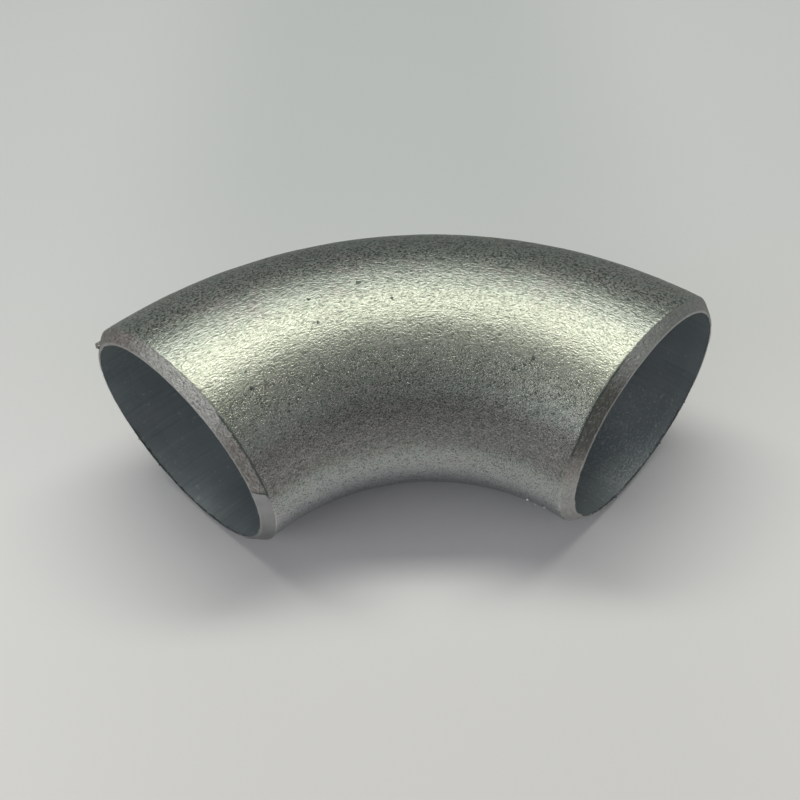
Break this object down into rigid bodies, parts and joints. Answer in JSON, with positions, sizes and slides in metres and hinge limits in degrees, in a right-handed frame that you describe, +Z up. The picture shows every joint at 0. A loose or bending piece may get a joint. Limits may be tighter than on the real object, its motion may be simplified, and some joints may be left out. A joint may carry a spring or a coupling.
{
  "type": "butt weld elbow",
  "caption": "Quarter-turn butt weld pipe elbow in zinc-coated steel, long radius, with bevelled ends for welding to pipe.",
  "frame": {"origin": "on the surface that the elbow rests on, under the middle of its bounding box, which is under the middle of the bend", "axes": "+Z up, square to the plane of the bend; -Y out of the first weld end; -X out of the second weld end"},
  "size_m": [0.1061, 0.1061, 0.0603],
  "materials": {
    "zinc_coated_steel": "zinc coat with a fine pebbled grain, satin"
  },
  "bodies": {
    "root": {"elbow": "zinc_coated_steel"}
  },
  "joints": []
}
